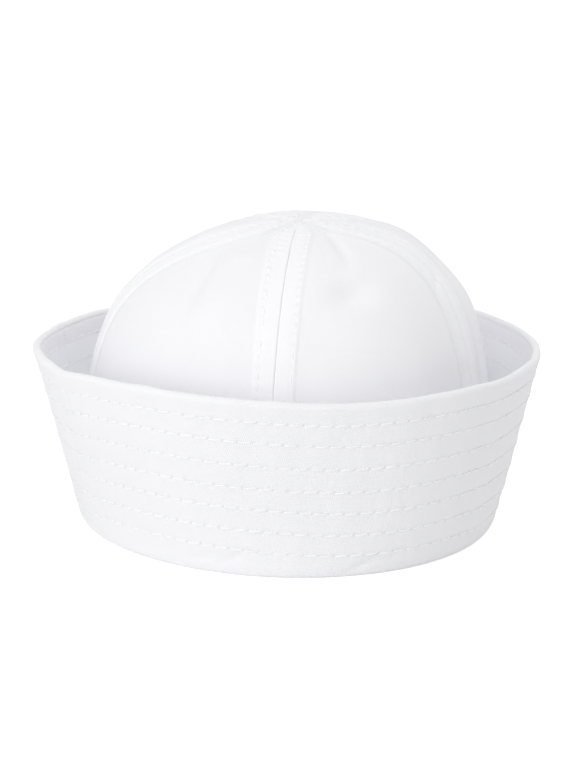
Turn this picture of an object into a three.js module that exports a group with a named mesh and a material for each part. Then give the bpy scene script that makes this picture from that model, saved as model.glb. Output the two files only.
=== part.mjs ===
// A white cotton sailor hat: a domed crown of five sewn gores inside a brim turned straight up all round.
// Millimetres, +Z up, the front towards -Y. The hat stands on the fold at the foot of its brim, z = 0.
// An azimuth is in degrees round +Z, from 0 at the front to 90 at +X.

import * as THREE from 'three';

// Base fold, where the brim turns up
const BASE_RADIUS = 97;
const FOLD_WIDTH = 3.4;
const FOLD_HEIGHT = 6;
const FOLD_FLAT = 1.8;
const FOLD_INNER_RADIUS = 1.2;
const TURN_UP_HEIGHT = 9;

// Rolled rim at the top of the brim
const RIM_RADIUS = 113.3;
const RIM_HEIGHT = 80;
const RIM_ROLL = 1.7;

// Brim plies
const PLY = 1.2;
const PLY_GAP = 0.3;
const FACING_FOOT = 11;

// Crown
const CROWN_RADIUS = 94;
const CROWN_HEIGHT = 135.2;
const CROWN_CLOTH = 1.3;
const CROWN_FOOT = 2;
const CROWN_BULGE = { mean: 2.77, sideways: 0.71 };
const CROWN_SHOULDER = { mean: 3.56, sideways: -0.51 };
const CROWN_LEAN = { x: 4.6, y: -1.5 };
const TIP_RADIUS = 1.2;

// Gores, seams and the raised band where the seam allowances lie
const SEAM_GAP = 0.3;
const BAND_WIDTH = 9;
const BAND_EDGE = 2;
const BAND_RISE = 0.5;
const SEAM_DRIFT_START = 0.35;
const BAND_FADE = { none: 1.5, full: 9 };

// Mesh steps
const BRIM_STEPS = 80;
const FOLD_STEPS = 5;
const FLANK_STEPS = 3;
const ROLL_STEPS = 6;
const GORE_ROWS = 18;
const GORE_PANEL_COLUMNS = 6;

// How far the plan leaves a circle, and the rim a level, by the number of waves in a turn
const BASE_WAVES = [
  { waves: 2, cos: 1.3, sin: 2.1 },
  { waves: 3, cos: 0.3, sin: 0.7 },
];
const RIM_WAVES = [
  { waves: 2, cos: -0.55, sin: 0.5 },
  { waves: 3, cos: 0.2, sin: 0.8 },
];
const RIM_HEIGHT_WAVES = [
  { waves: 1, cos: 2.0, sin: -0.95 },
  { waves: 2, cos: 0.2, sin: -0.5 },
];

// Seams of the crown: azimuth at the foot and at the top
const SEAMS = {
  front: { foot: -5, top: -5 },
  frontRight: { foot: 60.6, top: 65 },
  backRight: { foot: 131, top: 131 },
  backLeft: { foot: 203, top: 205 },
  left: { foot: 272.7, top: 293 },
};

// Gores of the crown, from one seam to the next going round
const GORES = [
  { name: 'crown_gore_front_right', from: 'front', to: 'frontRight' },
  { name: 'crown_gore_right', from: 'frontRight', to: 'backRight' },
  { name: 'crown_gore_back', from: 'backRight', to: 'backLeft' },
  { name: 'crown_gore_left', from: 'backLeft', to: 'left' },
  { name: 'crown_gore_front_left', from: 'left', to: 'front' },
];

// Soft dents of the crown: centre, half width and half length on the cloth, turn from upright, depth
const DENTS = [
  { azimuth: 22, height: 125, halfWidth: 9, halfLength: 20, turn: -12, depth: 1.8 },
  { azimuth: -46, height: 119, halfWidth: 8, halfLength: 22, turn: 24, depth: 1.6 },
  { azimuth: 90, height: 120, halfWidth: 24, halfLength: 16, turn: 0, depth: 4 },
  { azimuth: 165, height: 116, halfWidth: 10, halfLength: 22, turn: 10, depth: 1.6 },
  { azimuth: 240, height: 112, halfWidth: 9, halfLength: 24, turn: -14, depth: 1.5 },
];

// Where the cloth stands up or sinks over the top of the crown: place, reach and lift
const SWELLS = [
  { x: 6.4, y: 23, reach: 32, lift: 1.45 },
  { x: 31, y: 20, reach: 22, lift: -0.8 },
];

const CLOTH_COLOUR = 0xf1f1f4;

const radians = THREE.MathUtils.degToRad;

function clothMaterial() {
  return new THREE.MeshStandardMaterial({ color: CLOTH_COLOUR, roughness: 0.9, metalness: 0 });
}

// Sum of a table of waves at an azimuth
function waved(table, azimuth) {
  const turn = radians(azimuth);
  return table.reduce(
    (sum, row) => sum + row.cos * Math.cos(row.waves * turn) + row.sin * Math.sin(row.waves * turn),
    0,
  );
}

// Points of an elliptical arc, angles in degrees from +r towards +z
function arc(centre, width, height, start, end, steps) {
  const points = [];
  for (let i = 0; i <= steps; i += 1) {
    const angle = radians(THREE.MathUtils.lerp(start, end, i / steps));
    points.push(new THREE.Vector2(centre.x + width * Math.cos(angle), centre.y + height * Math.sin(angle)));
  }
  return points;
}

// Points between two ends, without the ends
function between(start, end, steps) {
  const points = [];
  for (let i = 1; i < steps; i += 1) {
    points.push(start.clone().lerp(end, i / steps));
  }
  return points;
}

// The brim's outer face at an azimuth: fold, flank from foot to head, and rolled rim
function brimLine(azimuth) {
  const baseRadius = BASE_RADIUS + waved(BASE_WAVES, azimuth);
  const rimRadius = RIM_RADIUS + waved(RIM_WAVES, azimuth);
  const rimHeight = RIM_HEIGHT + waved(RIM_HEIGHT_WAVES, azimuth);
  const foldCentre = new THREE.Vector2(baseRadius - FOLD_WIDTH, FOLD_HEIGHT);
  const rollCentre = new THREE.Vector2(rimRadius - RIM_ROLL, rimHeight - RIM_ROLL);
  const rise = rollCentre.clone().sub(foldCentre);
  const tilt = THREE.MathUtils.radToDeg(Math.atan2(rise.x, rise.y));
  const foot = arc(foldCentre, FOLD_WIDTH, FOLD_HEIGHT, -tilt, -tilt, 1)[0];
  const head = arc(rollCentre, RIM_ROLL, RIM_ROLL, -tilt, -tilt, 1)[0];
  const up = head.clone().sub(foot).normalize();
  const outward = new THREE.Vector2(up.y, -up.x);
  return { foldCentre, rollCentre, tilt, foot, head, up, outward };
}

// Closed section of the outer ply: fold flat, fold, flank, rolled rim, and back down to the turned-up end
function outerPlySection(azimuth) {
  const { foldCentre, rollCentre, tilt, foot, head, outward } = brimLine(azimuth);
  const flatInner = foldCentre.x - FOLD_FLAT;
  const endFace = flatInner - FOLD_INNER_RADIUS;
  const rollEnd = 360 - THREE.MathUtils.radToDeg(Math.acos(1 - PLY / RIM_ROLL));
  const roll = arc(rollCentre, RIM_ROLL, RIM_ROLL, -tilt, rollEnd - tilt, ROLL_STEPS);
  const foldInside = arc(foldCentre, FOLD_WIDTH - PLY, FOLD_HEIGHT - PLY, -tilt, -90, FOLD_STEPS);
  const flankTopInside = head.clone().lerp(foot, 0.05).addScaledVector(outward, -PLY);
  const innerCentre = new THREE.Vector2(flatInner, FOLD_INNER_RADIUS);
  const flatStart = new THREE.Vector2(flatInner, 0);
  return [
    flatStart,
    ...arc(foldCentre, FOLD_WIDTH, FOLD_HEIGHT, -90, -tilt, FOLD_STEPS),
    ...between(foot, head, FLANK_STEPS),
    ...roll,
    flankTopInside,
    ...between(flankTopInside, foldInside[0], FLANK_STEPS),
    ...foldInside,
    new THREE.Vector2(endFace + PLY, PLY),
    new THREE.Vector2(endFace + PLY, TURN_UP_HEIGHT),
    new THREE.Vector2(endFace, TURN_UP_HEIGHT),
    ...arc(innerCentre, FOLD_INNER_RADIUS, FOLD_INNER_RADIUS, 180, 270, 2).slice(0, -1),
    flatStart.clone(),
  ];
}

// Closed section of the facing: a plain wall against the outer ply, from above the fold to under the roll
function facingSection(azimuth) {
  const { foot, head, up, outward } = brimLine(azimuth);
  const inset = (point, depth) => point.clone().addScaledVector(outward, -depth);
  const low = foot.clone().lerp(head, (FACING_FOOT - foot.y) / (head.y - foot.y));
  const high = head.clone().addScaledVector(up, -RIM_ROLL - PLY_GAP);
  const outerDepth = PLY + PLY_GAP;
  const innerDepth = outerDepth + PLY;
  const outerLow = inset(low, outerDepth);
  const outerHigh = inset(high, outerDepth);
  const innerHigh = inset(high, innerDepth);
  const innerLow = inset(low, innerDepth);
  return [
    outerLow,
    ...between(outerLow, outerHigh, FLANK_STEPS),
    outerHigh,
    innerHigh,
    ...between(innerHigh, innerLow, FLANK_STEPS),
    innerLow,
    outerLow.clone(),
  ];
}

// A ring turned from a section that changes with the azimuth
function turned(sectionAt) {
  const first = sectionAt(0);
  const ring = new THREE.LatheGeometry(first, BRIM_STEPS);
  const position = ring.attributes.position;
  for (let i = 0; i <= BRIM_STEPS; i += 1) {
    const azimuth = (i % BRIM_STEPS) * (360 / BRIM_STEPS);
    const section = sectionAt(azimuth);
    const turn = radians(azimuth);
    section.forEach((point, j) => {
      position.setXYZ(
        i * first.length + j,
        point.x * Math.sin(turn),
        point.y,
        point.x * Math.cos(turn),
      );
    });
  }
  ring.rotateX(Math.PI / 2);
  ring.computeVertexNormals();
  return ring;
}

// How deep the dents press the crown at an azimuth and height
function dentDepth(azimuth, height, radius) {
  let depth = 0;
  for (const dent of DENTS) {
    const around = radians(THREE.MathUtils.euclideanModulo(azimuth - dent.azimuth + 180, 360) - 180) * radius;
    const up = (height - dent.height) * 1.6;
    const turn = radians(dent.turn);
    const across = around * Math.cos(turn) + up * Math.sin(turn);
    const along = up * Math.cos(turn) - around * Math.sin(turn);
    depth += dent.depth * Math.exp(-((across / dent.halfWidth) ** 2) - (along / dent.halfLength) ** 2);
  }
  return depth;
}

// Distance out from the crown's leaning axis, and share of its height
// Climb runs from 0 at the foot to 1 at the tips of the gores
function crownProfile(azimuth, climb) {
  const side = Math.sin(radians(azimuth));
  const bulge = CROWN_BULGE.mean + CROWN_BULGE.sideways * side;
  const shoulder = CROWN_SHOULDER.mean + CROWN_SHOULDER.sideways * side;
  const footRadius = CROWN_RADIUS + waved(BASE_WAVES, azimuth);
  const footAngle = Math.asin((CROWN_FOOT / CROWN_HEIGHT) ** (shoulder / 2));
  const tipAngle = Math.acos((TIP_RADIUS / footRadius) ** (bulge / 2));
  const angle = THREE.MathUtils.lerp(footAngle, tipAngle, climb);
  const rise = Math.sin(angle) ** (2 / shoulder);
  const full = footRadius * Math.cos(angle) ** (2 / bulge);
  const radius = full - dentDepth(azimuth, CROWN_HEIGHT * rise, full) * Math.min(1, full / BAND_WIDTH / 2);
  return { radius, rise };
}

// Point of the crown's outer face
function crownPoint(azimuth, climb) {
  const { radius, rise } = crownProfile(azimuth, climb);
  const turn = radians(azimuth);
  const x = radius * Math.sin(turn) + CROWN_LEAN.x * rise ** 2;
  const y = -radius * Math.cos(turn) + CROWN_LEAN.y * rise ** 2;
  let z = CROWN_HEIGHT * rise;
  for (const swell of SWELLS) {
    const away = Math.hypot(x - swell.x, y - swell.y) / swell.reach;
    z += swell.lift * Math.exp(-(away ** 2));
  }
  return new THREE.Vector3(x, y, z);
}

// Direction out of the crown's face
function crownNormal(azimuth, climb) {
  const step = 0.5;
  const low = Math.max(0, climb - step / 100);
  const high = Math.min(1, climb + step / 100);
  const around = crownPoint(azimuth + step, climb).sub(crownPoint(azimuth - step, climb));
  const up = crownPoint(azimuth, high).sub(crownPoint(azimuth, low));
  return around.cross(up).normalize();
}

// Azimuth of a seam at a climb
function seamAzimuth(seam, climb) {
  const drift = THREE.MathUtils.smoothstep(climb, SEAM_DRIFT_START, 1);
  return THREE.MathUtils.lerp(seam.foot, seam.top, drift);
}

// Distances from a seam, across half a gore, of the columns that shape the raised band and the panel
function goreColumns(halfWidth) {
  const band = Math.min(BAND_WIDTH, halfWidth * 0.5);
  const edge = Math.min(BAND_EDGE, band * 0.3);
  const offsets = [0, edge, band - edge, band + edge];
  for (let i = 1; i <= GORE_PANEL_COLUMNS / 2; i += 1) {
    offsets.push(THREE.MathUtils.lerp(band + edge, halfWidth, i / (GORE_PANEL_COLUMNS / 2)));
  }
  return offsets;
}

// Height of the raised band at a distance from the seam
function bandRise(offset, halfWidth) {
  const band = Math.min(BAND_WIDTH, halfWidth * 0.5);
  const edge = Math.min(BAND_EDGE, band * 0.3);
  const fade = 1 - THREE.MathUtils.smoothstep(offset, band - edge, band + edge);
  const dip = THREE.MathUtils.smoothstep(offset, 0, edge);
  const tip = THREE.MathUtils.smoothstep(halfWidth, BAND_FADE.none, BAND_FADE.full);
  return BAND_RISE * fade * tip * (0.4 + 0.6 * dip);
}

// One gore: a slab bent onto the crown between two seams
function goreGeometry(from, to) {
  const halfColumns = goreColumns(1).length - 1;
  const columns = 2 * halfColumns;
  const slab = new THREE.BoxGeometry(1, 1, 1, columns, GORE_ROWS, 1);
  const position = slab.attributes.position;
  for (let i = 0; i < position.count; i += 1) {
    const column = Math.round((position.getX(i) + 0.5) * columns);
    const climb = position.getY(i) + 0.5;
    const outside = position.getZ(i) > 0;
    const start = seamAzimuth(from, climb);
    let end = seamAzimuth(to, climb);
    if (end < start) {
      end += 360;
    }
    const { radius } = crownProfile((start + end) / 2, climb);
    const halfWidth = (radians(end - start) * radius - SEAM_GAP) / 2;
    const fromStart = column <= halfColumns;
    const offset = goreColumns(halfWidth)[fromStart ? column : columns - column];
    const swing = THREE.MathUtils.radToDeg((offset + SEAM_GAP / 2) / radius);
    const azimuth = fromStart ? start + swing : end - swing;
    const normal = crownNormal(azimuth, climb);
    const depth = outside ? bandRise(offset, halfWidth) : -CROWN_CLOTH;
    const point = crownPoint(azimuth, climb).addScaledVector(normal, depth);
    position.setXYZ(i, point.x, point.y, point.z);
  }
  slab.computeVertexNormals();
  return slab;
}

// The hat
const hat = new THREE.Group();

function addPiece(name, geometry) {
  const piece = new THREE.Mesh(geometry, clothMaterial());
  piece.name = name;
  hat.add(piece);
}

addPiece('brim_outer', turned(outerPlySection));
addPiece('brim_facing', turned(facingSection));
for (const gore of GORES) {
  addPiece(gore.name, goreGeometry(SEAMS[gore.from], SEAMS[gore.to]));
}

export default hat;
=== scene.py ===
"""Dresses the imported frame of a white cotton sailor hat: gored crown, quilted brim, thread and twill."""

import math

import bpy
import numpy as np
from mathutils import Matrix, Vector


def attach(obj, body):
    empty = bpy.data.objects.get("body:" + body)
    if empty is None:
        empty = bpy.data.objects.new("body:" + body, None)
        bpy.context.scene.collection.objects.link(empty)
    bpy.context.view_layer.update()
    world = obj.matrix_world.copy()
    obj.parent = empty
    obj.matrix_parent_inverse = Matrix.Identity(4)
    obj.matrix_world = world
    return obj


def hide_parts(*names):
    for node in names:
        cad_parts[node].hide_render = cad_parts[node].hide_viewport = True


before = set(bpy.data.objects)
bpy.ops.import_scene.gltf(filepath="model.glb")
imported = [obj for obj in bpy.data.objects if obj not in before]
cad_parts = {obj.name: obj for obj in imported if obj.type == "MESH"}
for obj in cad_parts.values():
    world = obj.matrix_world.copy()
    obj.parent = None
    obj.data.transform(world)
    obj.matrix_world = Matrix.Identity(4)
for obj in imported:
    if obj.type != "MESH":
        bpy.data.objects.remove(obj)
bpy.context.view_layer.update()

MM = 0.001
TURN = 2 * math.pi

# Photograph and camera
PHOTO_HEIGHT = 768
SENSOR = 36
FOCAL_PIXELS = 2870
CAMERA_DISTANCE = 1.3
CAMERA_ELEVATION = math.radians(14.7)
CAMERA_TARGET = Vector((0, 0, 0.06))
CAMERA_DROP_PIXELS = 1

# Studio, with name, place and power of each light box
SKY_POWER = 0.65
FLOOR_SIZE = 14
FLOOR_GLOW = 0.4
LIGHT_SIZE = 1.6
LIGHT_AIM = Vector((0, 0, 0.06))
LIGHT_BOXES = (
    ("low left box", (-1.72, -1.92, 0.42), 18.6),
    ("high front box", (-0.4, -1.15, 2.35), 13),
    ("high back box", (1.05, 1.5, 1.85), 10.5),
)

# Sizes of the hat in millimetres. The fold is rounder than the frame's, and the gores meet closer.
BASE_RADIUS = 97
FOLD_WIDTH = 4.2
FOLD_HEIGHT = 7.6
FOLD_FLAT = 1.8
FOLD_INNER_RADIUS = 1.2
TURN_UP_HEIGHT = 9
RIM_RADIUS = 113.3
RIM_HEIGHT = 80
RIM_ROLL = 1.7
PLY = 1.2
PLY_GAP = 0.3
FACING_FOOT = 11
CROWN_RADIUS = 94
CROWN_HEIGHT = 135.2
CROWN_CLOTH = 1.3
CROWN_FOOT = 2
TIP_RADIUS = 0.5
SEAM_GAP = 0.03

# Where the outer ply's inner face and the facing begin, below the head of the flank
INNER_FACE_TOP = 3.5
FACING_HEAD = 0.4 * RIM_ROLL

# Powers that round the crown's curve out and up, each with its change towards +X, and the shift of its top
CROWN_BULGE = (2.77, 0.71)
CROWN_SHOULDER = (3.56, -0.51)
CROWN_LEAN = (4.6, -1.5)

# How far the plan leaves a circle, and the rim a level: waves in a turn, cosine part, sine part
BASE_WAVES = ((2, 1.3, 2.1), (3, 0.3, 0.7))
RIM_WAVES = ((1, 0, -0.5), (2, -0.55, 0.5), (3, 0.2, 0.8))
RIM_HEIGHT_WAVES = ((1, 2.0, -0.95), (2, 0.2, -0.5))

# Seeded soft waves round the hat: height, seed, fewest and most waves in a turn, lean
WALL_WAVES = (0.42, 3, (2, 8), 0.02)
WALL_CREASES = (0.1, 4, (14, 40), 0.12)
ROLL_WAVES = (0.08, 6, (10, 45), 0.05)
OUTER_PUCKERS = (1, 5, (60, 150), 0.25)
FACING_PUCKERS = (1, 8, (60, 150), 0.25)
CROWN_SLACK = (0.35, 9, (2, 9), 0.04)

# Heights between which the cloth's softness sets in
WALL_ONSET = (2, 24)
CROWN_ONSET = (20, 70)

# Azimuth of each crown seam at the foot and at the top, in degrees from the front towards +X, and the
# climb at which it starts to drift from one to the other
SEAMS = {
    "front": (-5, -5),
    "front_right": (60.6, 65),
    "back_right": (131, 131),
    "back_left": (203, 205),
    "left": (272.7, 293),
}
SEAM_DRIFT_START = 0.35
GORES = (
    ("crown_gore_front_right", "front", "front_right"),
    ("crown_gore_right", "front_right", "back_right"),
    ("crown_gore_back", "back_right", "back_left"),
    ("crown_gore_left", "back_left", "left"),
    ("crown_gore_front_left", "left", "front"),
)

# Half the turn of a gore, if all were alike
HALF_GORE = math.radians(36)

# Soft dents of the crown: azimuth, height, half width, half length, turn from upright, depth
DENTS = (
    (22, 125, 9, 20, -12, 1.8),
    (-46, 119, 8, 22, 24, 1.6),
    (90, 120, 24, 16, 0, 3.5),
    (165, 116, 10, 22, 10, 1.6),
    (240, 112, 9, 24, -14, 1.5),
)

# Length of cloth for each millimetre of height where the dents lie
DENT_SLOPE = 1.6

# Creases, and ridges with a depth below 0: azimuth, height, half width, half length, turn from upright, depth
CREASES = (
    (26, 132, 2.4, 13, 4, 1.6),
    (20, 117.5, 10, 6, 10, 2.7),
    (25, 124.5, 4, 6, 0, -0.7),
    (-47, 119, 6, 18, 27, 3),
    (-27, 113, 8, 9, 0, -1.4),
    (92, 98, 20, 11, 0, -0.6),
    (100, 131, 9, 10, 0, -0.8),
    (-90, 97, 18, 9, 0, -0.6),
    (-104, 130, 9, 10, 0, -1.1),
    (-28, 128, 7, 6, 0, -1),
    (-30, 102, 9, 8, 0, -0.6),
    (61, 117, 1.6, 7, -50, 1.3),
    (10, 101, 10, 12, 20, 0.7),
    (4, 88, 6, 36, 0, 0.6),
    (-14, 84, 5.5, 30, 0, 0.5),
    (38, 78, 12, 22, 0, -0.8),
    (150, 122, 4, 12, 20, 1),
    (112, 110, 4, 10, -24, 0.7),
    (228, 119, 4, 13, 30, 1),
    (252, 105, 3.5, 11, -18, 0.7),
)

# How far in or out from its middle a crease still counts, and the climb above which none starts
CREASE_REACH = 20
HIGHEST_CREASE = 0.97

# Where the cloth stands up or sinks over the top of the crown: x, y, reach, lift
SWELLS = ((6.4, 23, 32, 1.45), (31, 20, 22, -0.8))

# Crown seams: width of the pressed allowances, their rise and the shares of the width between which it
# sets in, and how far their edge is rounded
BAND_WIDTH = 9
BAND_RISE = 0.7
BAND_ONSET = (0.15, 0.7)
BAND_EDGE = 0.9

# Topstitching of the allowances: distance from the seam, pitch, and how far from the tip it ends
SEAM_ROW = 7
SEAM_PITCH = 4.6
TIP_CLEAR = 7

# Half width of a gore below which its allowances narrow
NARROW_GORE = 14

# Columns of a gore's grid: those beside a seam, how far they reach and how much they crowd towards it, and
# those of the rest of its half
SEAM_COLUMNS = 24
SEAM_COLUMNS_REACH = 11
SEAM_COLUMNS_CROWDING = 0.35
PANEL_COLUMNS = 12

# How hard the topstitching of each seam pulls into the cloth, and the pull that leaves the band's edge flat
SEAM_PULL = {"front": 0.35, "front_right": 1.6, "back_right": 1, "back_left": 1, "left": 1.6}
FLAT_PULL = 0.35

# Relief across a crown seam: height, below 0 for a hollow, and reach. The needle mark is not relief but
# painted shade at the needle holes, with its strength and reach.
SEAM_HOLLOW = (-0.7, 13)
SEAM_GROOVE = (-0.3, 0.36)
SEAM_ROW_VALLEY = (-0.2, 1.6)
SEAM_ROW_GROOVE = (-0.3, 0.75)
SEAM_NEEDLE = (-0.08, 0.75)
SEAM_PAINTED_SHADE = (1, 0.55)
BAND_FOOT = (-0.5, 0.75)
BAND_FOOT_PLACE = 0.9
GORE_PUFF = (0.45, 3.5)
GORE_PUFF_PLACE = 12.5

# Gathers of the cloth near the tips: onset below the tip, pitch, height, distances from the seam at
# which they fade, and the share of the seam's groove that they fill
GATHER_ONSET = (46, 34)
GATHER_PITCH = 4.8
GATHER_HEIGHT = 0.45
GATHER_FADE = (3.5, 6.5)
GATHER_FILL = 0.6

# Puckers along the allowances: height, height and pace of their second wave against the first, and the
# distances from the seam at which they set in
LADDER_HEIGHT = 0.07
LADDER_SECOND = (0.8, 0.37)
PUCKER_ONSET = (0.8, 2.5)

# Brim quilting: distance of each stitch row below the head of the flank, pitch of the stitches, and the
# turn of each row's stitches against the row above, in radians of a stitch
BRIM_ROWS = (7.6, 17.3, 28.2, 38.9, 49.0, 59.4, 69.1)
BRIM_PITCH = 6.5
ROW_SHIFT = 2.1

# Stations down the brim's flank
FLANK_LENGTH = 75
BESIDE_ROW = (-1.9, -1.2, -0.6, 0, 0.6, 1.2, 1.9)
FACING_TOP = (0, 1.2, 2.4)

# Relief across a brim row: height, below 0 for a hollow, and reach. The needle mark is not relief but painted
# shade at the needle holes, with its strength and reach.
ROW_VALLEY = (-0.1, 2.6)
ROW_GROOVE = (-0.12, 0.8)
ROW_NEEDLE = (-0.2, 0.75)
ROW_PUCKER = (0.045, 3.2)
ROW_PAINTED_SHADE = (1, 0.6)

# How short the needle holes are against the stitches between them
BRIM_NEEDLE_POWER = 12
SEAM_NEEDLE_POWER = 10

# Girth from the foot, and distance below the head or, if negative, above it, between which the outer
# face's relief sets in
FOOT_FADE = (1.5, 6)
ROLL_FADE = (-6, -3)

# Strip of cloth turned over at the rim: rise, and distances below the head at its edge and of its thinning
RIM_STRIP_RISE = 0.22
RIM_STRIP_EDGE = (4.2, 6)
RIM_STRIP_FADE = (0, 9)

# Welt along the top of the strip: height and reach, and place. Fade of the roll's own waves below the head.
RIM_WELT = (0.2, 2)
RIM_WELT_PLACE = 0.5
ROLL_WAVES_FADE = (0, 4)

# The facing: shares of the quilting's relief and of the painted shade at needle holes that show on it, its
# rise under the roll, and the distances below the head over which that rise fades
FACING_RELIEF = 0.6
FACING_PAINTED_SHADE = 0.35
FACING_RISE = 0.5
FACING_RISE_FADE = (1.5, 8)

# Upright join of the brim: azimuth, edges and rise of its flattened allowances, its groove
BRIM_JOIN = -110
JOIN_EDGE = (4.2, 5.8)
JOIN_RISE = 0.4
JOIN_GROOVE = (-0.6, 0.5)

# Soft unevenness of the rim: azimuth, reach round it in degrees, lift
RIM_SAGS = (
    (-61, 6, -1.2),
    (-36, 15, 1.1),
    (12, 17, -1.2),
    (58, 9, -0.9),
    (80, 10, -0.9),
    (128, 18, 0.8),
    (-107, 14, -1.2),
)

# Creases at the foot of the brim: azimuth, distance below the head, half width, half length, turn, depth
BRIM_CREASES = (
    (-14, 73.5, 1.5, 7, 62, 1.1),
    (-21, 74.5, 1.7, 8, 70, 0.9),
    (19, 74, 1.6, 7, 68, 1.1),
    (27, 71, 1.5, 6, 55, 0.6),
    (-75, 74, 1.6, 6, 65, 0.4),
    (95, 73, 1.5, 7, 70, 0.4),
    (160, 74, 1.6, 6, 60, 0.4),
    (215, 73, 1.5, 6, 66, 0.4),
)

# Thread: thickness, depth of its middle below the outer face or lift above the crown, and slant of the
# brim's stitches
BRIM_THREAD = 0.66
FACING_THREAD = 0.45
CROWN_THREAD = 0.45
BRIM_THREAD_DEPTH = 0.02
FACING_THREAD_DEPTH = 2 * PLY + PLY_GAP - 0.12
CROWN_THREAD_LIFT = 0.05
BRIM_SLANT = 0.28

# A stitch: rise of its middle, sink of its ends, share of the pitch that it covers, thinning at the ends
BRIM_STITCH = {"arch": 0.16, "sink": 0.7, "cover": 0.92}
CROWN_STITCH = {"arch": 0.02, "sink": 0.6, "cover": 0.9}
STITCH_TAPER = 0.35

# Cotton: its whites, the colour of the painted shade at its needle holes, depth of the weave in metres, slope
# of the twill
BRIM_COTTON = {
    "light": (0.95, 0.95, 0.967),
    "dark": (0.93, 0.93, 0.95),
    "shade_colour": (0.81, 0.81, 0.84),
    "depth": 0.00004,
    "slope": 0.3,
}
CROWN_COTTON = {
    "light": (0.94, 0.94, 0.957),
    "dark": (0.92, 0.92, 0.94),
    "shade_colour": (0.87, 0.87, 0.9),
    "depth": 0.000015,
    "slope": -0.3,
}
LAYERED_WHITE = (0.965, 0.965, 0.98)
THREAD_LIGHT = (0.99, 0.99, 1)
THREAD_DARK = (0.95, 0.95, 0.97)

# Twill: width of a rib in metres, wander of the ribs in widths, warp threads to a rib, and height of
# warp and fuzz against the ribs
RIB_WIDTH = 0.0009
RIB_WANDER = 1.2
WARP_COUNT = 1.6
WARP_HEIGHT = 0.35
FUZZ_HEIGHT = 1.4


def waved(table, azimuth):
    """Sum of a table of waves at an azimuth in radians."""
    return sum(c * np.cos(n * azimuth) + s * np.sin(n * azimuth) for n, c, s in table)


def smooth_step(value, low, high):
    """From 0 at low to 1 at high."""
    t = np.clip((value - low) / (high - low), 0, 1)
    return t * t * (3 - 2 * t)


def fade(value, low, high):
    """From 1 at low to 0 at high."""
    return 1 - smooth_step(value, low, high)


def swell(gap, shape):
    """Soft rise round a line or a point at a gap from it: shape is its height and its reach."""
    height, reach = shape
    return height * np.exp(-(gap / reach) ** 2)


def oval(around, up, half_width, half_length, turn):
    """Soft oval, 1 in its middle, turned from upright by degrees."""
    turn = math.radians(turn)
    across = around * math.cos(turn) + up * math.sin(turn)
    along = up * math.cos(turn) - around * math.sin(turn)
    return np.exp(-(across / half_width) ** 2 - (along / half_length) ** 2)


def needle_holes(phase, power):
    """1 at each needle hole of a row and 0 along the stitches between them."""
    return (0.5 + 0.5 * np.cos(phase)) ** power


def swing_from(azimuth, place):
    """Angle in radians from a place in degrees, the short way round."""
    return (azimuth - math.radians(place) + math.pi) % TURN - math.pi


def ripples(waves, azimuth, along, count=24):
    """Height of seeded soft waves at an azimuth, leaning with the distance along the cloth."""
    height, seed, turns, slope = waves
    random = np.random.default_rng(seed)
    total = 0
    for _ in range(count):
        number = random.integers(turns[0], turns[1])
        lean = random.uniform(-slope, slope)
        total = total + np.cos(number * azimuth + lean * along + random.uniform(0, TURN))
    return height * (total * math.sqrt(2 / count))


def place_camera():
    data = bpy.data.cameras.new("camera")
    data.sensor_width = SENSOR
    data.lens = FOCAL_PIXELS / PHOTO_HEIGHT * SENSOR
    data.shift_y = CAMERA_DROP_PIXELS / PHOTO_HEIGHT
    data.clip_start = 0.05
    camera = bpy.data.objects.new("camera", data)
    bpy.context.scene.collection.objects.link(camera)
    back = Vector((0, -math.cos(CAMERA_ELEVATION), math.sin(CAMERA_ELEVATION)))
    camera.location = CAMERA_TARGET + back * CAMERA_DISTANCE
    camera.rotation_euler = back.to_track_quat("Z", "Y").to_euler()
    bpy.context.scene.camera = camera


# The brim's shape: arrays over azimuth, places in section as (radius, height)


def round_hat(section, azimuth):
    """Places or directions in space of those in section, at their azimuths."""
    radius, height = np.moveaxis(section, -1, 0)
    return np.stack([radius * np.sin(azimuth), -radius * np.cos(azimuth), height], -1)


def brim_line(azimuth):
    """Fold and roll centres, ends of the flank and its outward direction, at each azimuth."""
    base = BASE_RADIUS + waved(BASE_WAVES, azimuth)
    rim = RIM_RADIUS + waved(RIM_WAVES, azimuth)
    top = RIM_HEIGHT + waved(RIM_HEIGHT_WAVES, azimuth)
    for place, reach, lift in RIM_SAGS:
        top = top + swell(swing_from(azimuth, place), (lift, math.radians(reach)))
    fold = np.stack([base - FOLD_WIDTH, np.full_like(base, FOLD_HEIGHT)], -1)
    roll = np.stack([rim - RIM_ROLL, top - RIM_ROLL], -1)
    tilt = np.arctan2(*np.moveaxis(roll - fold, -1, 0))
    lean = np.stack([np.cos(tilt), -np.sin(tilt)], -1)
    foot = fold + lean * (FOLD_WIDTH, FOLD_HEIGHT)
    head = roll + lean * RIM_ROLL
    up = head - foot
    up = up / np.linalg.norm(up, axis=-1, keepdims=True)
    outward = np.stack([up[..., 1], -up[..., 0]], -1)
    return {"fold": fold, "roll": roll, "tilt": tilt, "foot": foot, "head": head,
            "up": up, "outward": outward}


def stretch(start, end, shares):
    """Points from start to end at the given shares of the way."""
    return [start + (end - start) * share for share in shares]


def bend(centre, size, start, end, steps):
    """Points and outward directions of an elliptical arc, angles in radians at each azimuth."""
    points, directions = [], []
    for step in range(steps + 1):
        angle = start + (end - start) * step / steps
        ray = np.stack([np.cos(angle), np.sin(angle)], -1)
        points.append(centre + ray * size)
        across = ray * size[::-1]
        directions.append(across / np.linalg.norm(across, axis=-1, keepdims=True))
    return points, directions


def girth_of(points):
    """Distance round a section from its first point to each of its points."""
    steps = np.linalg.norm(np.diff(points, axis=1, prepend=points[:, :1]), axis=-1)
    return np.cumsum(steps, axis=1)


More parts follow.
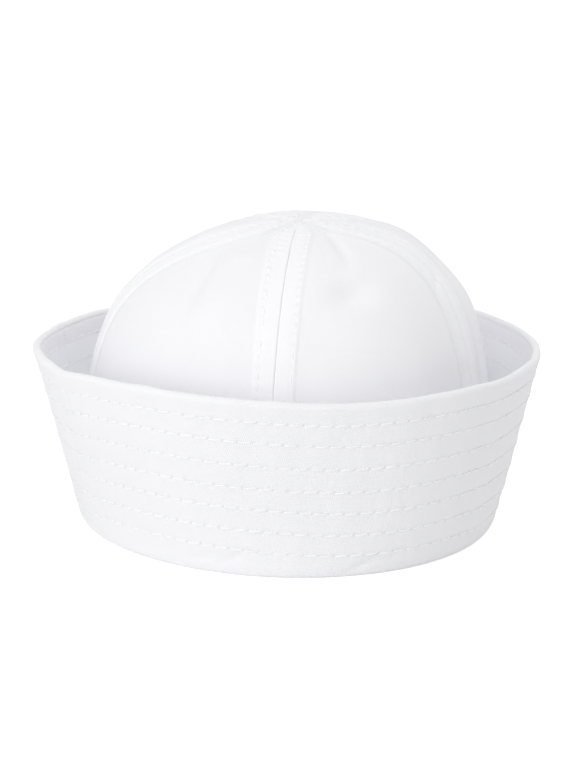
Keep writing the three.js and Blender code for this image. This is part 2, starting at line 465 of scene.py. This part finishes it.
def flank_stations():
    """Stations down the flank from head to foot, close together at the stitch rows."""
    stations = []
    between = tuple((a + b) / 2 for a, b in zip(BRIM_ROWS, BRIM_ROWS[1:]))
    edges = (0, *between, FLANK_LENGTH)
    for row, low, high in zip(BRIM_ROWS, edges, edges[1:]):
        near = [row + offset for offset in BESIDE_ROW]
        stations += [low, (low + near[0]) / 2, *near, (near[-1] + high) / 2]
    return np.array(stations + [FLANK_LENGTH])


FLANK_STATIONS = flank_stations()


def stitch_count(row):
    """Stitches in one brim row."""
    radius = RIM_RADIUS - (RIM_RADIUS - BASE_RADIUS) * row / RIM_HEIGHT
    return round(TURN * radius / BRIM_PITCH)


def wall_softness(line, azimuth, height):
    """Slow waves and creases of the brim's wall in millimetres outwards, alike through all its plies."""
    shape = (-1,) + (1,) * (height.ndim - 1)
    below = (line["head"][:, 1].reshape(shape) - height) / line["up"][:, 1].reshape(shape)
    waves = ripples(WALL_WAVES, azimuth, below) + ripples(WALL_CREASES, azimuth, below)
    return waves * smooth_step(height, *WALL_ONSET)


def brim_quilting(azimuth, below, puckers):
    """Relief of a ply from its stitch rows, creases and join, and painted shade at needle holes from 0 to 1.
    """
    relief = np.zeros_like(below)
    shade_mask = np.zeros_like(below)
    puckers = ripples(puckers, azimuth, below)
    for number, row in enumerate(BRIM_ROWS):
        gap = below - row
        phase = azimuth * stitch_count(row) + ROW_SHIFT * number
        needle = needle_holes(phase, BRIM_NEEDLE_POWER)
        relief = relief + swell(gap, ROW_VALLEY) + swell(gap, ROW_GROOVE)
        relief = relief + needle * swell(gap, ROW_NEEDLE) + puckers * swell(gap, ROW_PUCKER)
        # Painted shade at each needle hole of the row
        shade_mask = np.maximum(shade_mask, needle * swell(gap, ROW_PAINTED_SHADE))
    for place, level, half_width, half_length, turn, deep in BRIM_CREASES:
        around = swing_from(azimuth, place) * BASE_RADIUS
        relief = relief - deep * oval(around, below - level, half_width, half_length, turn)
    beside = np.abs(swing_from(azimuth, BRIM_JOIN)) * RIM_RADIUS
    relief = relief + JOIN_RISE * fade(beside, *JOIN_EDGE)
    return relief + swell(beside, JOIN_GROOVE), shade_mask


def rim_relief(azimuth, below):
    """Waves of the roll, and the strip turned over at the rim with its welt."""
    waves = ripples(ROLL_WAVES, azimuth, below) * fade(below, *ROLL_WAVES_FADE)
    strip = RIM_STRIP_RISE * fade(below, *RIM_STRIP_EDGE) * fade(below, *RIM_STRIP_FADE)
    return waves + strip + swell(below - RIM_WELT_PLACE, RIM_WELT)


def outer_ply_section(azimuth):
    """Closed section of the outer ply: places, girth and painted shade at needle holes at each azimuth."""
    line = brim_line(azimuth)
    quarter = np.full_like(azimuth, math.pi / 2)
    flat = line["fold"] - (FOLD_FLAT, FOLD_HEIGHT)
    down = np.zeros_like(flat) + (0, -1)
    inward = np.zeros_like(flat) + (-1, 0)

    # Flat foot, outside of the fold, flank and roll
    points = stretch(flat, flat + (FOLD_FLAT, 0), shares=(0, 0.5))
    outs = [down, down]
    places, rays = bend(line["fold"], (FOLD_WIDTH, FOLD_HEIGHT), -quarter, -line["tilt"], steps=12)
    points += places[:-1]
    outs += rays[:-1]
    shares = FLANK_STATIONS[::-1] / FLANK_LENGTH
    points += stretch(line["head"], line["foot"], shares)
    outs += [line["outward"]] * len(shares)
    face_end = len(points) - 1
    roll_end = TURN - math.acos(1 - PLY / RIM_ROLL) - line["tilt"]
    places, rays = bend(line["roll"], (RIM_ROLL, RIM_ROLL), -line["tilt"], roll_end, steps=16)
    points += places[1:]
    outs += rays[1:]

    # Inner face, and inside of the fold
    inside_top = line["head"] - line["up"] * INNER_FACE_TOP - line["outward"] * PLY
    inside = (FOLD_WIDTH - PLY, FOLD_HEIGHT - PLY)
    places, rays = bend(line["fold"], inside, -line["tilt"], -quarter, steps=6)
    points += stretch(inside_top, places[0], shares=(0, 0.25, 0.5, 0.75)) + places
    outs += [-line["outward"]] * 4 + [-ray for ray in rays]

    # The turned-up edge inside the crown's foot, and the corner below it
    end_face = flat - (FOLD_INNER_RADIUS, 0)
    lip = end_face + (PLY / 2, TURN_UP_HEIGHT - PLY / 2)
    places, rays = bend(lip, (PLY / 2, PLY / 2), 0 * quarter, 2 * quarter, steps=6)
    points += stretch(end_face + (PLY, PLY), places[0], shares=(0, 0.33, 0.66)) + places
    outs += [-inward] * 3 + rays
    corner = flat + (0, FOLD_INNER_RADIUS)
    inner_bend = (FOLD_INNER_RADIUS, FOLD_INNER_RADIUS)
    places, rays = bend(corner, inner_bend, 2 * quarter, 3 * quarter, steps=5)
    points += stretch(lip - (PLY / 2, 0), places[0], shares=(0.33, 0.66)) + places
    outs += [inward] * 2 + rays

    points = np.stack(points, 1)
    outs = np.stack(outs, 1)
    girth = girth_of(points)
    below = girth[:, face_end:face_end + 1] - girth
    turn = np.broadcast_to(azimuth[:, None], below.shape)
    on_face = smooth_step(girth, *FOOT_FADE) * smooth_step(below, *ROLL_FADE)
    soft = wall_softness(line, turn, points[..., 1])
    relief, shade_mask = brim_quilting(turn, below, OUTER_PUCKERS)
    relief = (relief + rim_relief(turn, below)) * on_face
    points = points + outs * relief[..., None]
    points[..., 0] += soft
    return points, girth, shade_mask * on_face


def facing_section(azimuth):
    """Closed section of the facing: places, girth and painted shade at needle holes at each azimuth."""
    line = brim_line(azimuth)
    outward = line["outward"]
    low = line["head"] - line["up"] * (line["head"][..., 1:] - FACING_FOOT) / line["up"][..., 1:]
    high = line["head"] - line["up"] * FACING_HEAD
    hidden, shown = PLY + PLY_GAP, 2 * PLY + PLY_GAP
    stations = np.concatenate([FACING_TOP, FLANK_STATIONS[FLANK_STATIONS > FACING_TOP[-1]]])
    hidden_side = stretch(low - outward * hidden, high - outward * hidden, shares=(0, 0.5, 1))
    shown_side = stretch(high - outward * shown, low - outward * shown, stations / FLANK_LENGTH)
    points = np.stack(hidden_side + shown_side + hidden_side[:1], 1)
    outs = np.stack([outward] * 3 + [-outward] * len(stations) + [outward], 1)
    below = (line["head"][:, None, 1] - points[..., 1]) / line["up"][:, None, 1]
    turn = np.broadcast_to(azimuth[:, None], below.shape)
    on_face = np.zeros(points.shape[1])
    on_face[3:-2] = 1
    relief, shade_mask = brim_quilting(turn, below, FACING_PUCKERS)
    relief = FACING_RELIEF * relief + FACING_RISE * fade(below, *FACING_RISE_FADE)
    girth = girth_of(points)
    soft = wall_softness(line, turn, points[..., 1])
    points = points + outs * (relief * on_face)[..., None]
    points[..., 0] += soft
    return points, girth, FACING_PAINTED_SHADE * shade_mask * on_face


# The crown's shape: arrays over azimuth in radians and climb from the foot, 0, to the tips, 1


def dent_depth(azimuth, height, radius):
    depth = 0
    for place, level, half_width, half_length, turn, deep in DENTS:
        around = swing_from(azimuth, place) * radius
        up = (height - level) * DENT_SLOPE
        depth = depth + deep * oval(around, up, half_width, half_length, turn)
    return depth


def crown_profile(azimuth, climb):
    """Distance out from the crown's leaning axis, and share of its height."""
    side = np.sin(azimuth)
    bulge = CROWN_BULGE[0] + CROWN_BULGE[1] * side
    shoulder = CROWN_SHOULDER[0] + CROWN_SHOULDER[1] * side
    foot_radius = CROWN_RADIUS + waved(BASE_WAVES, azimuth)
    foot_angle = np.arcsin((CROWN_FOOT / CROWN_HEIGHT) ** (shoulder / 2))
    tip_angle = np.arccos((TIP_RADIUS / foot_radius) ** (bulge / 2))
    angle = foot_angle + (tip_angle - foot_angle) * climb
    rise = np.sin(angle) ** (2 / shoulder)
    full = foot_radius * np.cos(angle) ** (2 / bulge)
    height = CROWN_HEIGHT * rise
    near_tip = np.minimum(1, full / BAND_WIDTH / 2)
    slack = ripples(CROWN_SLACK, azimuth, height) * smooth_step(height, *CROWN_ONSET)
    return full + (slack - dent_depth(azimuth, height, full)) * near_tip, rise


def crown_point(azimuth, climb):
    """Place on the crown's outer face, without seams."""
    radius, rise = crown_profile(azimuth, climb)
    x = radius * np.sin(azimuth) + CROWN_LEAN[0] * rise ** 2
    y = -radius * np.cos(azimuth) + CROWN_LEAN[1] * rise ** 2
    z = CROWN_HEIGHT * rise
    for middle_x, middle_y, reach, lift in SWELLS:
        z = z + swell(np.hypot(x - middle_x, y - middle_y), (lift, reach))
    return np.stack([x, y, z], -1)


def crown_frame(azimuth, climb, turn_step=0.01, climb_step=0.004):
    """Place, outward direction and directions round and up the crown."""
    azimuth, climb = np.broadcast_arrays(azimuth, climb)
    low = np.maximum(climb - climb_step, 0)
    high = np.minimum(climb + climb_step, 1)
    around = crown_point(azimuth + turn_step, climb) - crown_point(azimuth - turn_step, climb)
    up = crown_point(azimuth, high) - crown_point(azimuth, low)
    out = np.cross(around, up)
    unit = [v / np.linalg.norm(v, axis=-1, keepdims=True) for v in (out, around, up)]
    return crown_point(azimuth, climb), *unit


def crease_depth(places):
    """How far the fine creases sink places of the crown's face."""
    depth = 0
    climbs = np.linspace(0, HIGHEST_CREASE, 400)
    for place, level, half_width, half_length, turn, deep in CREASES:
        azimuth = np.full_like(climbs, math.radians(place))
        climb = np.interp(level, crown_point(azimuth, climbs)[:, 2], climbs)
        middle, out, around, up = crown_frame(azimuth[0], climb)
        away = places - middle
        crease = oval(away @ around, away @ up, half_width, half_length, turn)
        depth = depth + crease * swell(away @ out, (deep, CREASE_REACH))
    return depth


def seam_azimuth(seam, climb):
    foot, top = SEAMS[seam]
    drift = smooth_step(climb, SEAM_DRIFT_START, 1)
    return np.radians(foot + (top - foot) * drift)


def even_climbs(azimuth, steps):
    """Climbs at even distances up the crown at an azimuth, and those distances."""
    fine = np.linspace(0, 1, 1200)
    places = crown_point(np.full_like(fine, azimuth), fine)
    run = np.concatenate([[0], np.cumsum(np.linalg.norm(np.diff(places, axis=0), axis=-1))])
    distances = np.linspace(0, run[-1], steps + 1)
    return np.interp(distances, run, fine), distances


def on_allowance(offset, narrow):
    """From 1 on a seam's pressed allowance to 0 past its edge."""
    return fade(offset, (BAND_WIDTH - BAND_EDGE) * narrow, (BAND_WIDTH + BAND_EDGE) * narrow)


def seam_relief(offset, narrow, distance, length, pull, seed):
    """Height of the cloth beside a seam, and the painted shade at its needle holes.

    offset is the distance from the seam, narrow the share of the allowance's width that is left, distance
    the way up a seam of the given length, and pull how hard the topstitching holds.
    """
    on_band = on_allowance(offset, narrow)
    gathered = smooth_step(distance, length - GATHER_ONSET[0], length - GATHER_ONSET[1])
    phase = distance * TURN / SEAM_PITCH
    needle = needle_holes(phase, SEAM_NEEDLE_POWER)
    gap = offset - SEAM_ROW * narrow

    band = BAND_RISE * on_band * smooth_step(narrow, *BAND_ONSET)
    sink = narrow * swell(offset / narrow, SEAM_HOLLOW)
    groove = (1 - GATHER_FILL * gathered) * swell(offset, SEAM_GROOVE)
    row = swell(gap, SEAM_ROW_VALLEY) + swell(gap, SEAM_ROW_GROOVE) + needle * swell(gap, SEAM_NEEDLE)
    foot = swell(offset / narrow - BAND_WIDTH - BAND_FOOT_PLACE, BAND_FOOT)
    puff = narrow * swell(offset / narrow - GORE_PUFF_PLACE, GORE_PUFF)

    random = np.random.default_rng(seed)
    share, pace = LADDER_SECOND
    ladder = np.sin(phase + random.uniform(0, TURN))
    ladder = ladder + share * np.sin(phase * pace + random.uniform(0, TURN))
    gathers = np.sin(distance * TURN / GATHER_PITCH) * gathered * fade(offset, *GATHER_FADE)
    puckers = LADDER_HEIGHT * ladder + GATHER_HEIGHT * gathers
    puckers = puckers * smooth_step(offset, *PUCKER_ONSET) * on_band
    relief = band + sink + groove + (row + puff) * pull + foot * (pull - FLAT_PULL) + puckers
    # The second value is painted shade at the needle holes beside the row
    return relief, needle * swell(gap, SEAM_PAINTED_SHADE)


# Making pieces


def cloth_grid(name, columns, rows):
    """A flat grid of cloth, and the column and row of each of its points."""
    bpy.ops.object.select_all(action="DESELECT")
    bpy.ops.mesh.primitive_grid_add(x_subdivisions=columns, y_subdivisions=rows, size=1)
    piece = bpy.context.object
    piece.name = name
    piece.data.name = name
    flat = np.empty(len(piece.data.vertices) * 3, np.float32)
    piece.data.vertices.foreach_get("co", flat)
    flat = flat.reshape(-1, 3) + 0.5
    column = np.rint(flat[:, 0] * columns).astype(int)
    row = np.rint(flat[:, 1] * rows).astype(int)
    return piece, column, row


def lay_cloth(name, places, pattern, shade_mask, layers):
    """A piece of cloth whose points lie at places in millimetres, with the flat pattern as its UV map."""
    columns, rows = shade_mask.shape
    piece, column, row = cloth_grid(name, columns - 1, rows - 1)
    mesh = piece.data
    co = (places[column, row] * MM).astype(np.float32)
    mesh.vertices.foreach_set("co", co.ravel())
    corner = np.empty(len(mesh.loops), np.int32)
    mesh.loops.foreach_get("vertex_index", corner)
    flat = (pattern[column[corner], row[corner]] * MM).astype(np.float32)
    mesh.uv_layers[0].data.foreach_set("uv", flat.ravel())
    # The needle attribute carries painted shade at the needle holes
    for label, values in (("needle", shade_mask), ("layers", layers)):
        kept = mesh.attributes.new(label, "FLOAT", "POINT")
        kept.data.foreach_set("value", values[column, row].astype(np.float32))
    mesh.update()
    sew_edges(piece)
    return piece


def sew_edges(piece):
    """Merges the edges that meet, turns the faces outwards and smooths them."""
    bpy.context.view_layer.objects.active = piece
    bpy.ops.object.mode_set(mode="EDIT")
    bpy.ops.mesh.select_all(action="SELECT")
    bpy.ops.mesh.remove_doubles(threshold=MM * 0.001)
    bpy.ops.mesh.normals_make_consistent(inside=False)
    bpy.ops.object.mode_set(mode="OBJECT")
    bpy.ops.object.shade_smooth()


def brim_ring(name, section, columns):
    """A strip of cloth laid round the hat along a closed section, its ends sewn at the join."""
    azimuth = math.radians(BRIM_JOIN) + np.linspace(0, TURN, columns + 1)
    points, girth, shade_mask = section(azimuth)
    places = round_hat(points, azimuth[:, None])
    places[-1] = places[0]
    places[:, -1] = places[:, 0]
    around = np.broadcast_to((azimuth * RIM_RADIUS)[:, None], girth.shape)
    pattern = np.stack([around, girth], -1)
    return lay_cloth(name, places, pattern, shade_mask, np.zeros_like(shade_mask))


def gore_offsets(half_width):
    """Distances from a seam of the columns over half a gore, for each half width."""
    narrow = np.minimum(1, half_width / NARROW_GORE)[:, None]
    reach = SEAM_COLUMNS_REACH * narrow
    share = np.linspace(0, 1, SEAM_COLUMNS + 1)
    crowded = SEAM_COLUMNS_CROWDING * share ** 2 + (1 - SEAM_COLUMNS_CROWDING) * share
    share = np.linspace(0, 1, PANEL_COLUMNS + 1)[1:]
    panel = reach + (half_width[:, None] - reach) * share
    return np.concatenate([reach * crowded, panel], 1), narrow


def turn_outwards(piece):
    """Makes an open panel of the crown face away from the hat's middle."""
    middle = Vector((0, 0, 0.05))
    lean = sum(face.normal.dot(face.center - middle) for face in piece.data.polygons)
    if lean < 0:
        piece.data.flip_normals()


def both_halves(start, end):
    """Columns of a whole gore from those of its halves, each counted from its seam to the middle."""
    return np.concatenate([start, end[:, -2::-1]], 1)


def sew_gore(name, start_seam, end_seam, seed, rows=168):
    """One crown gore, laid between two seams, with its cloth's thickness inwards."""
    middle_foot = (SEAMS[start_seam][0] + SEAMS[end_seam][0]) / 2
    if SEAMS[end_seam][0] < SEAMS[start_seam][0]:
        middle_foot += 180
    climb, distance = even_climbs(math.radians(middle_foot), rows)
    start = seam_azimuth(start_seam, climb)
    end = seam_azimuth(end_seam, climb)
    end = np.where(end < start, end + TURN, end)
    radius, _ = crown_profile((start + end) / 2, climb)
    half_width = ((end - start) * radius - SEAM_GAP) / 2
    offsets, narrow = gore_offsets(half_width)
    swing = (offsets + SEAM_GAP / 2) / radius[:, None]
    azimuth = both_halves(start[:, None] + swing, end[:, None] - swing)
    offset = both_halves(offsets, offsets)
    place, out, _, _ = crown_frame(azimuth, climb[:, None])
    half = offsets.shape[1]
    pull = np.repeat((SEAM_PULL[start_seam], SEAM_PULL[end_seam]), (half, half - 1))
    relief, shade_mask = seam_relief(offset, narrow, distance[:, None], distance[-1], pull, seed)
    places = place + out * (relief - crease_depth(place))[..., None]
    across = both_halves(offsets - half_width[:, None], half_width[:, None] - offsets)
    pattern = np.stack([across, np.broadcast_to(distance[:, None], across.shape)], -1)
    layers = on_allowance(offset, narrow)
    piece = lay_cloth(name, np.swapaxes(places, 0, 1), np.swapaxes(pattern, 0, 1), shade_mask.T, layers.T)
    turn_outwards(piece)
    wall = piece.modifiers.new("wall", "SOLIDIFY")
    wall.thickness = CROWN_CLOTH * MM
    wall.offset = -1
    bpy.ops.object.modifier_apply(modifier=wall.name)
    bpy.ops.object.shade_smooth()
    return piece


# Thread


def one_stitch():
    """A short length of thread along X, 1 long and 1 thick, as vertices and faces."""
    bpy.ops.object.select_all(action="DESELECT")
    bpy.ops.mesh.primitive_cylinder_add(vertices=6, radius=0.5, depth=1, rotation=(0, math.pi / 2, 0))
    stitch = bpy.context.object
    bpy.ops.object.transform_apply(rotation=True)
    bpy.ops.object.mode_set(mode="EDIT")
    for cut in (-0.44, -0.34, -0.15, 0.15, 0.34, 0.44):
        bpy.ops.mesh.select_all(action="SELECT")
        bpy.ops.mesh.bisect(plane_co=(cut, 0, 0), plane_no=(1, 0, 0))
    bpy.ops.object.mode_set(mode="OBJECT")
    vertices = np.array([vertex.co for vertex in stitch.data.vertices])
    faces = [tuple(face.vertices) for face in stitch.data.polygons]
    bpy.data.objects.remove(stitch)
    return vertices, faces


def sew_thread(name, stitches, model, form, thickness):
    """Many stitches as one mesh, from the middle, run and outward direction of each.

    A stitch dives into the cloth at both ends and is thinner there.
    """
    shape, faces = model
    middle, run, out = stitches
    run = run * form["cover"]
    side = np.cross(out, run / np.linalg.norm(run, axis=-1, keepdims=True))
    along = shape[:, 0]
    lift = form["arch"] - (form["arch"] + form["sink"]) * (2 * along) ** 4
    taper = 1 - STITCH_TAPER * (2 * along) ** 6
    co = (
        middle[:, None]
        + run[:, None] * along[None, :, None]
        + side[:, None] * (shape[:, 1] * taper * thickness)[None, :, None]
        + out[:, None] * (shape[:, 2] * taper * thickness + lift)[None, :, None]
    ).reshape(-1, 3) * MM
    count = len(shape)
    copies = [tuple(v + count * k for v in face) for k in range(len(middle)) for face in faces]
    mesh = bpy.data.meshes.new(name)
    mesh.from_pydata(co.tolist(), [], copies)
    piece = bpy.data.objects.new(name, mesh)
    bpy.context.scene.collection.objects.link(piece)
    bpy.ops.object.select_all(action="DESELECT")
    piece.select_set(True)
    sew_edges(piece)
    return piece


def gather(rows):
    """Middles, runs and outward directions of the stitches of all rows."""
    return [np.concatenate(values) for values in zip(*rows)]


def brim_stitches(side, depth):
    """Stitches of the seven brim rows: side is 1 on the outer face and -1 on the facing."""
    rows = []
    slant = np.array([0, 0, BRIM_SLANT * side])
    for number, row in enumerate(BRIM_ROWS):
        count = stitch_count(row)
        holes = (np.arange(count + 1) * TURN - ROW_SHIFT * number) / count
        line = brim_line(holes)
        point = line["head"] - line["up"] * row - line["outward"] * depth
        point[:, 0] += wall_softness(line, holes, point[:, 1])
        place = round_hat(point, holes)
        start, end = place[:-1] - slant, place[1:] + slant
        out = round_hat(line["outward"][:-1] * side, (holes[:-1] + holes[1:]) / 2)
        rows.append(((start + end) / 2, end - start, out))
    return gather(rows)


def crown_stitches():
    """Topstitching on both sides of each crown seam."""
    rows = []
    for seam, (foot, _) in SEAMS.items():
        climb, distance = even_climbs(math.radians(foot), steps=1200)
        holes = np.arange(SEAM_PITCH * 2, distance[-1] - TIP_CLEAR, SEAM_PITCH)
        climbs = np.interp(holes, distance, climb)
        middle_turn = seam_azimuth(seam, climbs)
        radius, _ = crown_profile(middle_turn, climbs)
        narrow = np.minimum(1, radius * HALF_GORE / NARROW_GORE)
        row = SEAM_ROW * narrow
        relief, _ = seam_relief(row, narrow, SEAM_PITCH / 2, distance[-1], SEAM_PULL[seam], 0)
        for side in (-1, 1):
            azimuth = middle_turn + side * (row + SEAM_GAP / 2) / radius
            place, out, _, _ = crown_frame(azimuth, climbs)
            place = place + out * (relief + CROWN_THREAD_LIFT - crease_depth(place))[:, None]
            rows.append(((place[:-1] + place[1:]) / 2, place[1:] - place[:-1], out[:-1]))
    return gather(rows)


# Finishes


def feed(tree, made, inputs):
    """Gives a node's inputs their values, or links them to other nodes' outputs."""
    for label, value in inputs.items():
        if isinstance(value, bpy.types.NodeSocket):
            tree.links.new(value, made.inputs[label])
        else:
            made.inputs[label].default_value = value


def node(tree, kind, inputs=None, **settings):
    made = tree.nodes.new(kind)
    for key, value in settings.items():
        setattr(made, key, value)
    feed(tree, made, inputs or {})
    return made


def arithmetic(tree, operation, *values):
    return node(tree, "ShaderNodeMath", dict(enumerate(values)), operation=operation).outputs[0]


def noise(tree, place, scale, detail, **settings):
    inputs = {"Vector": place, "Scale": scale, "Detail": detail}
    return node(tree, "ShaderNodeTexNoise", inputs, **settings).outputs[0]


def mixed(tree, factor, first, second):
    """Colour between two, by a factor from 0 to 1."""
    inputs = {"Factor": factor, "A": first, "B": second}
    return node(tree, "ShaderNodeMix", inputs, data_type="RGBA").outputs["Result"]


def shader_group(name, inputs, outputs):
    """A node group with the named sockets, and its input and output nodes."""
    tree = bpy.data.node_groups.new(name, "ShaderNodeTree")
    for direction, sockets in (("INPUT", inputs), ("OUTPUT", outputs)):
        for label, kind in sockets.items():
            tree.interface.new_socket(label, in_out=direction, socket_type="NodeSocket" + kind)
    return tree, node(tree, "NodeGroupInput"), node(tree, "NodeGroupOutput")


def twill_group():
    """Diagonal ribs of cotton twill over a finer warp, on the flat pattern in metres."""
    inputs = {"Pattern": "Vector", "Rib": "Float", "Slope": "Float"}
    tree, entry, leave = shader_group("twill", inputs, {"Height": "Float"})
    pattern = entry.outputs["Pattern"]
    rib_width = entry.outputs["Rib"]
    x, y, _ = node(tree, "ShaderNodeSeparateXYZ", {0: pattern}).outputs
    wander = noise(tree, pattern, scale=60, detail=2, noise_dimensions="2D")
    fuzz = noise(tree, pattern, scale=1400, detail=3, noise_dimensions="2D")
    across = arithmetic(tree, "ADD", x, arithmetic(tree, "MULTIPLY", y, entry.outputs["Slope"]))
    turns = arithmetic(tree, "DIVIDE", across, rib_width)
    turns = arithmetic(tree, "ADD", turns, arithmetic(tree, "MULTIPLY", wander, RIB_WANDER))
    rib = arithmetic(tree, "SINE", arithmetic(tree, "MULTIPLY", turns, TURN))
    threads = arithmetic(tree, "DIVIDE", y, rib_width)
    warp = arithmetic(tree, "SINE", arithmetic(tree, "MULTIPLY", threads, TURN * WARP_COUNT))
    woven = arithmetic(tree, "ADD", rib, arithmetic(tree, "MULTIPLY", warp, WARP_HEIGHT))
    height = arithmetic(tree, "ADD", woven, arithmetic(tree, "MULTIPLY", fuzz, FUZZ_HEIGHT))
    feed(tree, leave, {"Height": height})
    return tree


def soft_shade_group():
    """Slow drift of the cloth's whiteness, whiter over the seam allowances, painted shade at needle holes."""
    inputs = {"Pattern": "Vector", "Shade mask": "Float", "Layers": "Float"}
    inputs.update({"Light": "Color", "Dark": "Color", "Shade colour": "Color"})
    tree, entry, leave = shader_group("cotton shade", inputs, {"Colour": "Color"})
    given = entry.outputs
    drift = noise(tree, given["Pattern"], scale=22, detail=4)
    cloth = mixed(tree, drift, given["Light"], given["Dark"])
    layered = mixed(tree, given["Layers"], cloth, (*LAYERED_WHITE, 1))
    # Painted shade at the needle holes
    feed(tree, leave, {"Colour": mixed(tree, given["Shade mask"], layered, given["Shade colour"])})
    return tree


def new_material(name, inputs):
    """A material with its tree and its shader, the shader's inputs fed."""
    material = bpy.data.materials.new(name)
    material.use_nodes = True
    tree = material.node_tree
    shader = tree.nodes["Principled BSDF"]
    feed(tree, shader, inputs)
    return material, tree, shader


def cloth_material(name, twill, shade, light, dark, shade_colour, depth, slope):
    looks = {"Roughness": 0.9, "Specular IOR Level": 0.25, "Sheen Weight": 0.12, "Sheen Roughness": 0.5}
    material, tree, shader = new_material(name, looks)
    pattern = node(tree, "ShaderNodeUVMap", uv_map="UVMap").outputs[0]
    weave = node(
        tree, "ShaderNodeGroup", {"Pattern": pattern, "Rib": RIB_WIDTH, "Slope": slope}, node_tree=twill,
    )
    tones = {"Light": (*light, 1), "Dark": (*dark, 1), "Shade colour": (*shade_colour, 1)}
    tones["Pattern"] = node(tree, "ShaderNodeTexCoord").outputs["Object"]
    # Painted shade at the needle holes, read from the mesh
    tones["Shade mask"] = node(tree, "ShaderNodeAttribute", attribute_name="needle").outputs["Fac"]
    tones["Layers"] = node(tree, "ShaderNodeAttribute", attribute_name="layers").outputs["Fac"]
    tone = node(tree, "ShaderNodeGroup", tones, node_tree=shade)
    relief = {"Strength": 1, "Distance": depth, "Height": weave.outputs["Height"]}
    bump = node(tree, "ShaderNodeBump", relief)
    feed(tree, shader, {"Base Color": tone.outputs["Colour"], "Normal": bump.outputs[0]})
    return material


def thread_material():
    """Glossier mercerised cotton with fine fibres."""
    material, tree, shader = new_material("thread", {"Roughness": 0.55, "Specular IOR Level": 0.4})
    place = node(tree, "ShaderNodeTexCoord").outputs["Object"]
    fibre = noise(tree, place, scale=2600, detail=2)
    tone = mixed(tree, fibre, (*THREAD_LIGHT, 1), (*THREAD_DARK, 1))
    bump = node(tree, "ShaderNodeBump", {"Distance": 0.00005, "Height": fibre})
    feed(tree, shader, {"Base Color": tone, "Normal": bump.outputs[0]})
    return material


def dress(piece, material, slot, *nodes):
    piece.data.materials.clear()
    piece.data.materials.append(material)
    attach(piece, "root")
    if nodes:
        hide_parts(*nodes)


# Studio


def floor():
    """White ground that glows for the camera alone, so that it looks as white as the photograph's."""
    bpy.ops.object.select_all(action="DESELECT")
    bpy.ops.mesh.primitive_plane_add(size=FLOOR_SIZE, location=(0, 0, 0))
    ground = bpy.context.object
    ground.name = "floor"
    material, tree, shader = new_material("floor", {
        "Base Color": (0.95, 0.95, 0.95, 1),
        "Roughness": 0.95,
        "Specular IOR Level": 0.1,
        "Emission Color": (1, 1, 1, 1),
    })
    seen = node(tree, "ShaderNodeLightPath").outputs["Is Camera Ray"]
    feed(tree, shader, {"Emission Strength": arithmetic(tree, "MULTIPLY", seen, FLOOR_GLOW)})
    ground.data.materials.append(material)


def soft_box(name, place, power):
    data = bpy.data.lights.new(name, "AREA")
    data.shape = "SQUARE"
    data.size = LIGHT_SIZE
    data.energy = power
    lamp = bpy.data.objects.new(name, data)
    bpy.context.scene.collection.objects.link(lamp)
    lamp.location = place
    lamp.rotation_euler = (Vector(place) - LIGHT_AIM).to_track_quat("Z", "Y").to_euler()


def studio():
    world = bpy.data.worlds.new("studio")
    world.use_nodes = True
    sky = world.node_tree.nodes["Background"]
    sky.inputs["Color"].default_value = (0.99, 0.99, 1, 1)
    sky.inputs["Strength"].default_value = SKY_POWER
    bpy.context.scene.world = world
    bpy.context.scene.view_settings.view_transform = "Standard"
    bpy.context.scene.cycles.max_bounces = 20
    bpy.context.scene.cycles.diffuse_bounces = 16
    for name, place, power in LIGHT_BOXES:
        soft_box(name, place, power)


place_camera()
floor()
studio()

twill = twill_group()
shade = soft_shade_group()
brim_cloth = cloth_material("brim cotton", twill, shade, **BRIM_COTTON)
crown_cloth = cloth_material("crown cotton", twill, shade, **CROWN_COTTON)
thread = thread_material()

outer_ply = brim_ring("brim_outer_cloth", outer_ply_section, columns=740)
facing = brim_ring("brim_facing_cloth", facing_section, columns=640)
dress(outer_ply, brim_cloth, "brim_cloth", "brim_outer")
dress(facing, brim_cloth, "brim_cloth", "brim_facing")
for seed, (gore, start_seam, end_seam) in enumerate(GORES):
    dress(sew_gore(gore + "_cloth", start_seam, end_seam, seed), crown_cloth, "crown_cloth", gore)

stitch = one_stitch()
outer_rows = brim_stitches(1, BRIM_THREAD_DEPTH)
facing_rows = brim_stitches(-1, FACING_THREAD_DEPTH)
dress(sew_thread("brim_stitching", outer_rows, stitch, BRIM_STITCH, BRIM_THREAD), thread, "thread")
dress(sew_thread("facing_stitching", facing_rows, stitch, BRIM_STITCH, FACING_THREAD), thread, "thread")
dress(sew_thread("crown_stitching", crown_stitches(), stitch, CROWN_STITCH, CROWN_THREAD), thread, "thread")
